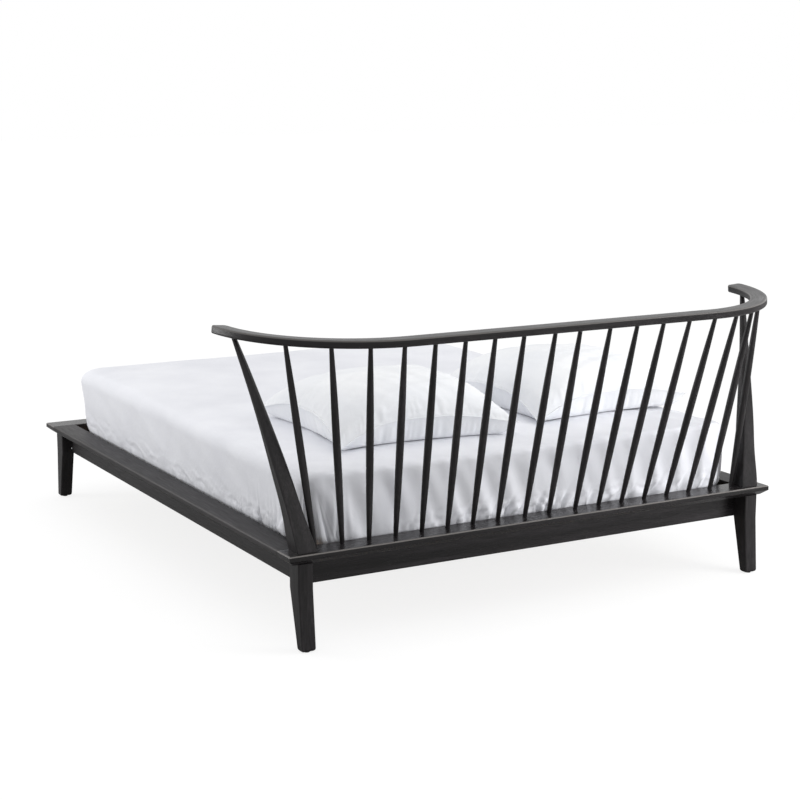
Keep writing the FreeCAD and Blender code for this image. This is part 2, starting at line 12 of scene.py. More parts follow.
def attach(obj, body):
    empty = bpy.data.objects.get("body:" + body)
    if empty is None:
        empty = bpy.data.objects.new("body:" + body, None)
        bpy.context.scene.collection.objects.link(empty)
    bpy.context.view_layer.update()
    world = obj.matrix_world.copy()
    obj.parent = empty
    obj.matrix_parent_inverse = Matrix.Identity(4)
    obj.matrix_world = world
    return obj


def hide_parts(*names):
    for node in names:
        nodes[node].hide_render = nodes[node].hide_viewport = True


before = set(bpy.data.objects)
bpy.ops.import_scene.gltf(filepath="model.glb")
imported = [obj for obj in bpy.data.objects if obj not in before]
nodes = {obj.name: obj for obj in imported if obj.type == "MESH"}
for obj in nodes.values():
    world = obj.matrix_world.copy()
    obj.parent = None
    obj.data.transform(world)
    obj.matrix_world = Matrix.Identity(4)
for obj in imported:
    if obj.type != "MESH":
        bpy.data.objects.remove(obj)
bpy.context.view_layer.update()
print(len(nodes), "nodes of the bed")

# %% [markdown]
# ## The camera
# The bed is seen from behind the headboard, to its right, from a little above the crest. A long lens keeps
# the far end of the headboard nearly as large as the near end. The camera is placed by its position and by
# the three angles of a surveyor: yaw to the side, pitch down and roll about the view.

# %% Camera
IMAGE_SIDE = 800
SENSOR_MM = 36.0
focal_px = 1772.8
camera_place = (3.0489, 5.4998, 1.7289)
camera_yaw, camera_pitch, camera_roll = 0.5135, 0.1926, 0.0006


def camera_axes(yaw, pitch, roll):
    """Right, up and backward unit vectors from a yaw off -Y, a pitch down and a roll about the view."""
    ahead = np.array([-np.sin(yaw) * np.cos(pitch), -np.cos(yaw) * np.cos(pitch), -np.sin(pitch)])
    right = np.cross(ahead, (0, 0, 1))
    right /= np.linalg.norm(right)
    up = np.cross(right, ahead)
    turned_right = np.cos(roll) * right + np.sin(roll) * up
    turned_up = np.cos(roll) * up - np.sin(roll) * right
    return turned_right, turned_up, -ahead


camera = bpy.data.objects.new("camera", bpy.data.cameras.new("camera"))
bpy.context.scene.collection.objects.link(camera)
axes = np.stack(camera_axes(camera_yaw, camera_pitch, camera_roll), axis=1)
pose = np.eye(4)
pose[:3, :3] = axes
pose[:3, 3] = camera_place
camera.matrix_world = Matrix(pose.tolist())
camera.data.sensor_width = SENSOR_MM
camera.data.lens = focal_px * SENSOR_MM / IMAGE_SIDE
bpy.context.scene.camera = camera
print("lens", round(camera.data.lens, 2), "mm")

# %% [markdown]
# ## Tools for finishes
# Colours are written as they look on a screen, and one function turns them into the linear numbers that the
# shader adds up. One more function adds a shader node with its settings and its links, so that each finish
# below reads as a short list.

# %% Colour and node helpers


def linear(hex_colour):
    """A linear RGBA colour from an sRGB hex value."""
    parts = np.array([int(hex_colour[i : i + 2], 16) for i in (1, 3, 5)]) / 255
    low, high = parts / 12.92, ((parts + 0.055) / 1.055) ** 2.4
    return (*np.where(parts <= 0.04045, low, high).tolist(), 1.0)


def add(tree, kind, inputs=None, **settings):
    """Add a shader node, set its settings, and fill or link its inputs by name or number."""
    made = tree.nodes.new("ShaderNode" + kind)
    for name, value in settings.items():
        setattr(made, name, value)
    for name, value in (inputs or {}).items():
        if isinstance(value, bpy.types.NodeSocket):
            tree.links.new(value, made.inputs[name])
        else:
            made.inputs[name].default_value = value
    return made


def blank_material(name):
    """A new material with its node tree and the shader that lights it."""
    material = bpy.data.materials.new(name)
    material.use_nodes = True
    return material, material.node_tree, material.node_tree.nodes["Principled BSDF"]


def tones(tree, factor, *stops):
    """A colour ramp over a factor, from (place, hex colour) stops."""
    ramp = add(tree, "ValToRGB", {0: factor})
    marks = ramp.color_ramp.elements
    while len(marks) < len(stops):
        marks.new(0.5)
    for mark, (place, colour) in zip(marks, stops):
        mark.position = place
        mark.color = linear(colour)
    return ramp.outputs["Color"]


# %% [markdown]
# ## Black-stained ash
# The frame is ash, a wood with coarse open grain, under a black stain and a satin lacquer. The stain sinks
# in unevenly, so that the pores stay blackest and the smooth late wood shows a little grey. Grain runs
# along the length of each board, so there is one finish for each direction. The real grain is 1 to 3 mm
# wide, which is under one pixel from here, and its lines are drawn 4 mm apart to show at all. On the
# rounded edges of the ledges at the ends and of the crest a fine grey line is painted into the colour: a
# painted highlight for the glint of light there, strongest on the head and foot ledges. The surface's own
# direction finds these edges: on such an edge it points neither straight up nor level.

# %% Ash finish
FINE_LINE_M = 0.004
BROAD_BAND_M = 0.045
PORE_LINE_M = 0.0022
GRAIN_STRETCH = 26
ASH_SHADES = ("#131212", "#201e1f", "#322f31")
# Grey of the painted highlight on the rounded edges of the wood.
PAINTED_HIGHLIGHT_GREY = "#8e8a87"
LACQUER_IOR = 1.36


def grain_noise(tree, place, line_width, along, **settings):
    """Noise squeezed across the grain to a line width and stretched along one axis."""
    scale = [1 / line_width] * 3
    scale[along] /= GRAIN_STRETCH
    squeezed = add(tree, "Mapping", {"Vector": place, "Scale": scale})
    return add(tree, "TexNoise", {"Vector": squeezed.outputs[0], "Scale": 1.0, **settings}).outputs["Fac"]


def painted_edge_highlight(tree, stained, share):
    """Stained colour with a painted highlight: light grey mixed in by a share where the surface slants up."""
    upward = add(tree, "SeparateXYZ", {0: add(tree, "NewGeometry").outputs["Normal"]}).outputs["Z"]
    off_level = add(tree, "MapRange", {"Value": upward, 1: 0.15, 2: 0.40, 3: 0.0, 4: share}).outputs[0]
    off_upright = add(tree, "MapRange", {"Value": upward, 1: 0.90, 2: 0.98, 3: 1.0, 4: 0.0}).outputs[0]
    highlight_share = add(tree, "Math", {0: off_level, 1: off_upright}, operation="MULTIPLY").outputs[0]
    return add(tree, "Mix", {0: highlight_share, 6: stained, 7: linear(PAINTED_HIGHLIGHT_GREY)}, data_type="RGBA").outputs[2]


def ash_finish(name, along, source="Object", rough=(0.34, 0.50), painted_edge_share=0.0):
    """Satin black ash, grain along one axis of its coordinates, and a painted edge highlight by a share."""
    material, tree, shader = blank_material(name)
    place = add(tree, "TexCoord").outputs[source]
    broad = grain_noise(tree, place, BROAD_BAND_M, along, Detail=3.0, Distortion=0.4)
    fine = grain_noise(tree, place, FINE_LINE_M, along, Detail=4.0, Roughness=0.65)
    pores = grain_noise(tree, place, PORE_LINE_M, along, Detail=2.0)
    mixed = add(tree, "Math", {0: broad, 1: fine}, operation="ADD")
    halved = add(tree, "Math", {0: mixed.outputs[0], 1: 0.5}, operation="MULTIPLY").outputs[0]
    base = tones(tree, halved, *zip((0.34, 0.5, 0.68), ASH_SHADES))
    pore_mask = add(tree, "MapRange", {"Value": pores, 1: 0.30, 2: 0.44, 3: 0.45, 4: 1.0}).outputs[0]
    darkened = add(tree, "Mix", {0: 1.0, 6: base}, data_type="RGBA", blend_type="MULTIPLY")
    grey_mask = add(tree, "CombineColor", {0: pore_mask, 1: pore_mask, 2: pore_mask})
    tree.links.new(grey_mask.outputs[0], darkened.inputs[7])
    stained = darkened.outputs[2]
    # The painted highlight: light grey put into the colour on rounded edges, where light would glint.
    if painted_edge_share:
        stained = painted_edge_highlight(tree, stained, painted_edge_share)
    tree.links.new(stained, shader.inputs["Base Color"])
    gloss = add(tree, "MapRange", {"Value": fine, 1: 0.3, 2: 0.7, 3: rough[1], 4: rough[0]})
    tree.links.new(gloss.outputs[0], shader.inputs["Roughness"])
    relief = add(tree, "Math", {0: fine, 1: pore_mask}, operation="ADD")
    bump = add(tree, "Bump", {"Height": relief.outputs[0], "Strength": 0.22, "Distance": 0.0006})
    tree.links.new(bump.outputs[0], shader.inputs["Normal"])
    shader.inputs["IOR"].default_value = LACQUER_IOR
    return material


# Shares of the painted edge highlight: most on the boards that run across, less on the crest and sides.
ash_along_x = ash_finish("black_stained_ash_along_x", 0, rough=(0.22, 0.34), painted_edge_share=0.50)
ash_along_y = ash_finish("black_stained_ash_along_y", 1, rough=(0.42, 0.58), painted_edge_share=0.15)
ash_upright = ash_finish("black_stained_ash_upright", 2)
ash_bent = ash_finish("black_stained_ash_bent", 0, source="UV", rough=(0.28, 0.44), painted_edge_share=0.35)

# %% [markdown]
# ## The parts nobody stains
# Slats, ledgers, the centre beam and its feet are planed birch without a finish. It is pale and warm, with
# faint straight grain and a matt face. The bolts and screws are steel with a bright zinc coat, and the
# glides under the legs are a dense black nylon.

# %% Birch, zinc and nylon


def birch_finish(name, along):
    """Planed pale birch with faint grain along one axis."""
    material, tree, shader = blank_material(name)
    place = add(tree, "TexCoord").outputs["Object"]
    broad = grain_noise(tree, place, 0.03, along, Detail=2.0, Distortion=0.6)
    fine = grain_noise(tree, place, 0.003, along, Detail=3.0)
    mixed = add(tree, "Math", {0: broad, 1: fine}, operation="ADD")
    halved = add(tree, "Math", {0: mixed.outputs[0], 1: 0.5}, operation="MULTIPLY").outputs[0]
    base = tones(tree, halved, (0.35, "#b98f61"), (0.52, "#cfa878"), (0.68, "#dfc096"))
    tree.links.new(base, shader.inputs["Base Color"])
    bump = add(tree, "Bump", {"Height": fine, "Strength": 0.25, "Distance": 0.0004})
    tree.links.new(bump.outputs[0], shader.inputs["Normal"])
    shader.inputs["Roughness"].default_value = 0.62
    return material


def zinc_finish():
    """Zinc plate: a bright metal with a cloudy crystal pattern in its roughness."""
    material, tree, shader = blank_material("zinc_plated_steel")
    place = add(tree, "TexCoord").outputs["Object"]
    cloud = add(tree, "TexNoise", {"Vector": place, "Scale": 160.0, "Detail": 3.0}).outputs["Fac"]
    tree.links.new(tones(tree, cloud, (0.35, "#a9abad"), (0.65, "#cfd2d4")), shader.inputs["Base Color"])
    gloss = add(tree, "MapRange", {"Value": cloud, 1: 0.3, 2: 0.7, 3: 0.28, 4: 0.45})
    tree.links.new(gloss.outputs[0], shader.inputs["Roughness"])
    shader.inputs["Metallic"].default_value = 1.0
    return material


def nylon_finish():
    """Moulded black nylon with a fine pebbled skin."""
    material, tree, shader = blank_material("moulded_black_nylon")
    place = add(tree, "TexCoord").outputs["Object"]
    pebble = add(tree, "TexNoise", {"Vector": place, "Scale": 900.0, "Detail": 2.0}).outputs["Fac"]
    tree.links.new(tones(tree, pebble, (0.3, "#161617"), (0.7, "#222224")), shader.inputs["Base Color"])
    bump = add(tree, "Bump", {"Height": pebble, "Strength": 0.3, "Distance": 0.0003})
    tree.links.new(bump.outputs[0], shader.inputs["Normal"])
    shader.inputs["Roughness"].default_value = 0.6
    return material


birch_along_x = birch_finish("planed_birch_along_x", 0)
birch_along_y = birch_finish("planed_birch_along_y", 1)
birch_upright = birch_finish("planed_birch_upright", 2)
zinc = zinc_finish()
nylon = nylon_finish()

# %% [markdown]
# ## Dress the wooden frame
# Each node of the CAD model gets the finish whose grain runs the way that its board is cut. Names that
# share a beginning share a finish, so a short list of beginnings covers all sixty nodes.

# %% Finishes by node
finish_of = [
    (("ledge_head", "ledge_foot", "apron_head", "apron_foot"), ash_along_x),
    (("ledge_left", "ledge_right", "apron_left", "apron_right"), ash_along_y),
    (("leg_head", "leg_foot", "post_", "spindle_", "corner_blocks"), ash_upright),
    (("slat_ledger", "centre_beam"), birch_along_y),
    (("slat_screws", "ledger_screws", "leg_bolts"), zinc),
    (("slat_", "beam_cleats"), birch_along_x),
    (("centre_leg",), birch_upright),
    (("foot_glides",), nylon),
]


def dress(node, material):
    """Put one material in every slot of a node's object."""
    node.data.materials.clear()
    node.data.materials.append(material)


for name, node in nodes.items():
    chosen = next((material for starts, material in finish_of if name.startswith(starts)), ash_along_x)
    dress(node, chosen)
print(len(nodes), "nodes dressed")

# %% [markdown]
# ## Surfaces on a grid
# Every new piece starts as an array of points with rows and columns. The helper below makes it a mesh: it
# joins neighbours into four-sided faces, closes the grid round on itself where a piece is a tube or a ring,
# and puts a fan of triangles on an end that has to be shut.

# %% Grid to mesh


def grid_faces(rows, columns, wrap=True):
    """Corner numbers of the faces of a grid of points, one row after another, closed round when wrapped."""
    across = np.arange(columns if wrap else columns - 1)
    row, column = np.meshgrid(np.arange(rows - 1), across, indexing="ij")
    following = (column + 1) % columns
    corners = [row * columns + column, row * columns + following]
    corners += [(row + 1) * columns + following, (row + 1) * columns + column]
    return np.stack(corners, axis=-1).reshape(-1, 4)


def grid_piece(name, points, wrap=True, caps=(False, False), flip=False, uv=None):
    """A mesh from points (rows, columns, 3), with a fan at the first and last row where caps ask for one."""
    rows, columns, _ = points.shape
    places = points.reshape(-1, 3)
    faces = grid_faces(rows, columns, wrap).tolist()
    for at_end, wanted in zip((0, 1), caps):
        if wanted:
            ring = (rows - 1) * at_end * columns + np.arange(columns)
            pole = len(places)
            places = np.vstack([places, places[ring].mean(axis=0)])
            around = np.roll(ring, -1)
            fan = np.stack([np.full(columns, pole), around, ring], axis=-1)
            faces += (fan[:, ::-1] if at_end else fan).tolist()
    if flip:
        faces = [face[::-1] for face in faces]
    mesh = bpy.data.meshes.new(name)
    mesh.from_pydata(places.tolist(), [], faces)
    if uv is not None:
        layer = mesh.uv_layers.new(name="length_and_girth")
        corner_of = np.zeros(len(mesh.loops), np.int32)
        mesh.loops.foreach_get("vertex_index", corner_of)
        padded = np.vstack([uv.reshape(-1, 2), np.zeros((len(places) - rows * columns, 2))])
        layer.data.foreach_set("uv", padded[corner_of].ravel())
    mesh.update()
    mesh.shade_smooth()
    piece = bpy.data.objects.new(name, mesh)
    bpy.context.scene.collection.objects.link(piece)
    print(name, len(places), "points", len(faces), "faces")
    return piece


# %% [markdown]
# ## The crest rail
# The rail is one long steam-bent piece: straight in the middle and bent forward at both ends. Its section
# is a flat rounded rectangle that leans outwards a few degrees along the bends, as a sawn and then bent
# board does. The CAD solid has the same path with a level section. Here the section is carried along the
# path by an array formula, and the grain follows the bend because the pattern is read from the length along
# the rail.

# %% Crest path and section
MM = 0.001
head_shift = -60.1077 * MM
platform_half_length = 1098 * MM
crest_setback, crest_height = 92 * MM, 919.4 * MM
crest_straight, crest_radius = 547 * MM, 427.5 * MM
crest_turn, crest_arm = np.radians(83.5), 31 * MM
crest_width, crest_thickness = 56 * MM, 23.5 * MM
crest_tilt = np.radians(1.94)
crest_bank_middle, crest_bank_growth = np.radians(0.8), np.radians(4.6)
crest_arris = 5 * MM
tip_round, tip_nose = 24 * MM, 9 * MM


def rounded_section(width, thickness, radius, per_corner=7, per_side=5):
    """A closed rectangle with rounded corners: (across, rise) points from the outer top corner on."""
    turns = np.linspace(0, np.pi / 2, per_corner)
    loop = []
    for quarter in range(4):
        angle = quarter * np.pi / 2 + turns
        middle = np.array([width / 2 - radius, thickness / 2 - radius])
        middle = middle * np.array([(1, 1), (-1, 1), (-1, -1), (1, -1)][quarter])
        arc = middle + radius * np.stack([np.cos(angle), np.sin(angle)], axis=-1)
        loop.append(arc)
    loop = np.concatenate(loop)
    ends = np.roll(loop, -1, axis=0)
    gaps = np.linalg.norm(ends - loop, axis=1)
    filled = []
    for start, end, gap in zip(loop, ends, gaps):
        steps = per_side if gap > 2 * radius else 1
        share = np.arange(steps)[:, None] / steps
        filled.append(start + (end - start) * share)
    return np.concatenate(filled)


def crest_stations():
    """Distances along half of the rail, close together at the rounded tip."""
    length = crest_straight + crest_radius * crest_turn + crest_arm
    main = np.linspace(0, length - tip_round, 110)
    tip = length - tip_round * (1 - np.sin(np.linspace(0, np.pi / 2, 14)[1:]))
    return np.concatenate([main, tip]), length


def crest_half_path(distance):
    """Middle line and outward direction in the rail's flat plane: straight, then an arc, then a short arm."""
    bent = np.clip(distance - crest_straight, 0, crest_radius * crest_turn)
    angle = bent / crest_radius
    beyond = np.clip(distance - crest_straight - crest_radius * crest_turn, 0, None)
    x = np.minimum(distance, crest_straight) + crest_radius * np.sin(angle) + beyond * np.cos(angle)
    y = crest_radius * (np.cos(angle) - 1) - beyond * np.sin(angle)
    out = np.stack([np.sin(angle), np.cos(angle)], axis=-1)
    return np.stack([x, y], axis=-1), out, angle


def crest_points():
    """The rail's surface: the section, banked and rounded off at the tips, carried along both halves."""
    half, length = crest_stations()
    distance = np.concatenate([-half[:0:-1], half])
    side = np.sign(distance)
    line, out, angle = crest_half_path(np.abs(distance))
    line[:, 0] *= side
    out[:, 0] *= side
    section = rounded_section(crest_width, crest_thickness, crest_arris)
    to_tip = np.clip((np.abs(distance) - (length - tip_round)) / tip_round, 0, 1)
    narrow = tip_round * (1 - np.sqrt(1 - to_tip**2))
    to_nose = np.clip((np.abs(distance) - (length - tip_nose)) / tip_nose, 0, 1)
    thin = tip_nose * (1 - np.sqrt(1 - to_nose**2))
    wide = 1 - 2 * narrow / crest_width
    high = 1 - 2 * thin / crest_thickness
    across = section[None, :, 0] * wide[:, None]
    rise = section[None, :, 1] * high[:, None]
    bank = crest_bank_middle + crest_bank_growth * angle / crest_turn
    outwards = across * np.cos(bank)[:, None] - rise * np.sin(bank)[:, None]
    up = rise * np.cos(bank)[:, None] + across * np.sin(bank)[:, None]
    x = line[:, None, 0] + out[:, None, 0] * outwards
    y = line[:, None, 1] + out[:, None, 1] * outwards
    lean_y = y * np.cos(crest_tilt) + up * np.sin(crest_tilt)
    lean_z = up * np.cos(crest_tilt) - y * np.sin(crest_tilt)
    place_y = platform_half_length + crest_setback + head_shift
    points = np.stack([x, lean_y + place_y, lean_z + crest_height], axis=-1)
    girth = np.concatenate([[0], np.cumsum(np.linalg.norm(np.diff(section, axis=0), axis=1))])
    uv = np.stack(np.broadcast_arrays(distance[:, None], girth[None, :]), axis=-1)
    return points, uv


points, uv = crest_points()
crest_rail = grid_piece("crest_rail", points, caps=(True, True), uv=uv)
crest_rail.data.materials.append(ash_bent)
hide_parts("crest_centre", "crest_left", "crest_right")
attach(crest_rail, "frame")

# %% [markdown]
# ## The mattress under its sheet
# A mattress is a soft box: rounded edges, a base that draws in where it meets the slats, and a low crown.
# The same surface serves twice. The mattress itself is closed underneath and plain, and the fitted sheet is
# the surface again, a little larger, tucked under the base and with its folds. Every ring of the surface is
# a rounded rectangle, so one formula gives a whole row of points at once.

# %% Rings round the mattress
mattress_half = np.array([800.0, 1000.0]) * MM
mattress_low, mattress_high = nodes["mattress"].bound_box[0][2], nodes["mattress"].bound_box[6][2]
corner_low, corner_high = np.array([150, 86, 150, 150]) * MM, np.array([62, 45, 62, 62]) * MM
edge_round, head_edge_round, base_inset = 45 * MM, 20 * MM, 20 * MM
base_round = 40 * MM
crown_rise, crown_inset = 6 * MM, 180 * MM
corner_signs = np.array([(1, 1), (-1, 1), (-1, -1), (1, -1)], float)


def ring_columns(head, left, foot, right, per_corner=18):
    """Columns of every ring: signs of the corner's middle, outward direction, shares of the corners."""
    signs, outward, shares = [], [], []
    corner_share = np.eye(4)
    for corner, (count, gather) in enumerate(((head, 1.0), (left, 1.0), (foot, 1.0), (right, 0.5))):
        angle = (corner + np.linspace(0, 1, per_corner)) * np.pi / 2
        outward.append(np.stack([np.cos(angle), np.sin(angle)], axis=-1))
        signs.append(np.repeat(corner_signs[corner : corner + 1], per_corner, axis=0))
        shares.append(np.repeat(corner_share[corner : corner + 1], per_corner, axis=0))
        share = (1 - (1 - np.linspace(0, 1, count + 2)[1:-1]) ** (1 / gather))[:, None]
        following = corner_signs[(corner + 1) % 4]
        signs.append(corner_signs[corner] * (1 - share) + following * share)
        outward.append(np.repeat(outward[-1][-1:], count, axis=0))
        shares.append(corner_share[corner] * (1 - share) + corner_share[(corner + 1) % 4] * share)
    return np.concatenate(signs), np.concatenate(outward), np.concatenate(shares)


def ring(columns, inset, height):
    """Points of one level ring: a rounded rectangle, its corners rounder low down, where elastic pulls."""
    signs, outward, shares = columns
    rise = np.clip((height - mattress_low - 0.02) / 0.18, 0, 1)
    corner = (shares @ corner_low * (1 - rise) + shares @ corner_high * rise)[:, None]
    return signs * (mattress_half - np.reshape(inset, (-1, 1)) - corner) + outward * corner


def mattress_profile(side_rows, edge):
    """Rows of (inset, height) from the base up, round a top edge of one radius, or one for each column."""
    low, high = mattress_low, mattress_high - crown_rise
    rows = [(base_inset, low), (base_inset * 0.62, low + 0.004), (base_inset / 3, low + base_round / 3)]
    rise = np.linspace(0, 1, side_rows)
    rows += [(0.0, low + base_round + (high - edge - low - base_round) * share) for share in rise]
    turn = np.linspace(0, np.pi / 2, 8)[1:]
    rows += [(edge * (1 - np.cos(t)), high - edge * (1 - np.sin(t))) for t in turn]
    slope = np.linspace(0, 1, 9)[1:]
    rows += [(edge + (crown_inset - edge) * s, high + crown_rise * np.sin(s * np.pi / 2)) for s in slope]
    rows += [(inset, mattress_high) for inset in np.linspace(crown_inset, 0.55, 5)[1:]]
    return np.array([np.stack(np.broadcast_arrays(inset, height, edge)[:2]) for inset, height in rows])


def smooth_step(x, low, high):
    """0 below low, 1 above high and an S-shaped rise between."""
    share = np.clip((x - low) / (high - low), 0, 1)
    return share * share * (3 - 2 * share)


def stacked_rings(columns, profile):
    """All rings of a profile as points (rows, columns, 3) about the middle of the bed."""
    flat = np.stack([ring(columns, inset, height) for inset, height in profile])
    height = np.broadcast_to(profile[:, 1].reshape(len(profile), -1, 1), (*flat.shape[:2], 1))
    return np.concatenate([flat, height], axis=2)


def over_the_middle(points, shares=(0.8, 0.6, 0.4, 0.2)):
    """More rings that shrink the last one towards the middle, so that a short fan can close it."""
    last = points[-1:]
    inner = [np.concatenate([last[..., :2] * share, last[..., 2:]], axis=2) for share in shares]
    return np.concatenate([points, *inner])


def bed_place(points):
    """Move points from the middle of the bed to the frame's own origin."""
    return points + np.array([0, head_shift, 0])


# %% [markdown]
# ## The mattress
# Only its underside can be seen, between the slats from below. It is a woven ticking over foam, pale grey,
# with quilting about 60 mm apart that a low bump gives. The top is a little lower than the CAD solid, which
# leaves the thickness of the sheet.

# %% Mattress body
SHEET_GAP = 8 * MM
QUILTS_PER_M = 16.0


def quilted_ticking():
    """Pale ticking: a woven cover pressed into diamonds by its quilting."""
    material, tree, shader = blank_material("quilted_cotton_ticking")
    place = add(tree, "TexCoord").outputs["Object"]
    diamonds = {"Vector": place, "Rotation": (0, 0, np.pi / 4), "Scale": (QUILTS_PER_M, QUILTS_PER_M, 0.0)}
    turned = add(tree, "Mapping", diamonds)
    cells = add(tree, "TexVoronoi", {"Vector": turned.outputs[0], "Scale": 1.0, "Randomness": 0.0})
    from_middle = cells.outputs["Distance"]
    puff = add(tree, "MapRange", {"Value": from_middle, 1: 0.0, 2: 0.7, 3: 1.0, 4: 0.0}).outputs[0]
    thread = add(tree, "TexNoise", {"Vector": place, "Scale": 700.0, "Detail": 2.0}).outputs["Fac"]
    tree.links.new(tones(tree, thread, (0.3, "#cfd1d4"), (0.7, "#e2e3e5")), shader.inputs["Base Color"])
    fine = add(tree, "Bump", {"Height": thread, "Strength": 0.2, "Distance": 0.0004}).outputs[0]
    bump = add(tree, "Bump", {"Height": puff, "Strength": 0.6, "Distance": 0.006, "Normal": fine})
    tree.links.new(bump.outputs[0], shader.inputs["Normal"])
    shader.inputs["Roughness"].default_value = 0.85
    return material


def spare_at(height):
    """How far the mattress lies inside its box: more low down, where the sheet's folds cut in."""
    return SHEET_GAP + 10 * MM * smooth_step(height, 0.075, 0.030)


columns = ring_columns(60, 70, 60, 70, per_corner=10)
profile = mattress_profile(16, edge_round)
under = np.array([(inset, mattress_low) for inset in (0.5, 0.3, 0.12, 0.05)])
body_rows = np.concatenate([under, profile])
body_rows[:, 0] += spare_at(body_rows[:, 1] - mattress_low)
body_rows[4:, 1] -= SHEET_GAP * (body_rows[4:, 1] - mattress_low) / (mattress_high - mattress_low)
body = bed_place(over_the_middle(stacked_rings(columns, body_rows)))
mattress_body = grid_piece("mattress_body", body, caps=(True, True))
mattress_body.data.materials.append(quilted_ticking())
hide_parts("mattress")
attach(mattress_body, "mattress")

# %% [markdown]
# ## The fitted sheet
# A fitted sheet is stretched over the mattress and pulled under it by elastic. It lies smooth on top and
# hangs in gathers where the elastic bunches it: upright pleats low on the side, deepest near the head
# corner, and wider slanting folds on the head face. The folds are waves added along the outward direction,
# each fading with height, and sums of a few sines keep them from repeating.

# %% Folds of the sheet
GATHER_M, TALL_FOLD_M = 0.034, 0.046
DRAPE_M, SMALL_DRAPE_M = 0.118, 0.061
PUFF_M, PUFF_RISE_M = 0.055, 0.030


def wander(x, seed):
    """A smooth uneven line: five sines whose rates have no common measure."""
    rates = np.array([3.1, 7.3, 13.9, 23.7, 41.3])
    sizes = np.array([1.0, 0.7, 0.5, 0.35, 0.2])
    starts = np.sin(np.arange(1, 6) * 12.9898 + seed * 78.233) * np.pi
    return np.sum(sizes * np.sin(x[..., None] * rates + starts), axis=-1) / 2


def pleat(phase, valley=0.75):
    """A row of round folds from 0 to 1: sharp valleys between them below a power of 1, wide ones above."""
    return np.abs(np.sin(np.pi * phase)) ** valley


def side_folds(along, height):
    """Gathers of the right side: pleats 34 mm apart that reach higher towards the head, crinkles low down."""
    near_head = smooth_step(along, 0.35, 0.85)
    reach = 0.030 + 0.100 * near_head * (0.8 + 0.35 * wander(along * 1.7, 3))
    fade = np.exp(-((height / reach) ** 2.0))
    phase = along / GATHER_M + 0.8 * wander(along * 3.7, 1) + 0.6 * height / reach
    strength = np.clip(0.8 + 0.7 * wander(along * 5.3, 2), 0.15, 1.6)
    gathers = (0.0040 + 0.0240 * near_head) * (pleat(phase, 1.7) - 0.35) * fade * strength
    crinkle = 0.0030 * wander(along * 7.0 + height * 20, 6) * wander(height * 9 - along * 3, 8)
    crinkle = crinkle * np.exp(-(((height - 0.045) / 0.04) ** 2)) * 2
    sag = 0.0035 * wander(along * 0.9 + height * 2.0, 5) * smooth_step(height, 0.0, 0.12)
    return gathers + crinkle + sag


def head_folds(along, height):
    """Folds of the head face: slanting drapes, a base of puffs and creases, tall folds by the near corner."""
    drape = np.sin(2 * np.pi * (along - 0.55 * height) / DRAPE_M + 1.3 * wander(along * 0.8, 11))
    second = np.sin(2 * np.pi * (along - 0.35 * height) / SMALL_DRAPE_M + 2.2 * wander(along * 0.6, 12))
    hang = smooth_step(height, 0.245, 0.16) * (0.35 + 0.65 * smooth_step(along, -0.55, 0.1))
    rough = pleat(along / PUFF_M + 1.3 * wander(along, 13) + height * 12)
    tiers = pleat(height / PUFF_RISE_M + 1.5 * wander(along * 2, 17) + along * 9)
    rough = rough * (0.35 + 0.65 * tiers) - 0.42
    crumple = 0.0300 * rough * np.exp(-((height / 0.070) ** 3)) * smooth_step(along, 0.60, 0.35)
    tall = pleat(along / TALL_FOLD_M + 0.7 * wander(along * 4.1, 15) - height * 1.5, 1.7) - 0.4
    tall = 0.0075 * tall * smooth_step(along, 0.60, 0.72) * smooth_step(height, 0.235, 0.10)
    drapes = (0.0036 * drape + 0.0011 * second) * hang
    return 0.002 + drapes + tall + crumple * (0.75 + 0.5 * wander(along * 1.3, 14))


def corner_folds(angle, height):
    """Gathers that stand round a corner, where the elastic bunches most cloth, fading up the side."""
    phase = angle / 0.23 + 0.8 * wander(angle * 2.3, 18) + height * 2
    fade = smooth_step(height, 0.21, 0.05) * np.clip(0.8 + 0.5 * wander(angle * 3, 19), 0.3, 1.4)
    return 0.0190 * (pleat(phase, 1.7) - 0.45) * fade


def quiet_folds(along, height):
    """Folds of the sides that face away: low pulls along the base."""
    fade = np.exp(-((height / 0.05) ** 1.4))
    return 0.0045 * pleat(along / 0.04 + wander(along, 21)) * fade + 0.002 * wander(along * 1.2 + height, 22)


def top_folds(x, y):
    """Soft unevenness of the top, with shallow drags that run out from under the pillows."""
    calm = 0.0020 * wander(x * 1.4 + y * 0.6, 31) + 0.0020 * wander(y * 1.7 - x * 0.5, 32)
    drag = 0.0024 * np.sin(2 * np.pi * (x * 0.35 + y) / 0.16 + 2 * wander(x, 33)) * smooth_step(y, 0.1, 0.6)
    return calm + drag * smooth_step(np.abs(y), 1.0, 0.9)


# %% Fitted sheet
foot_rise = 13 * MM


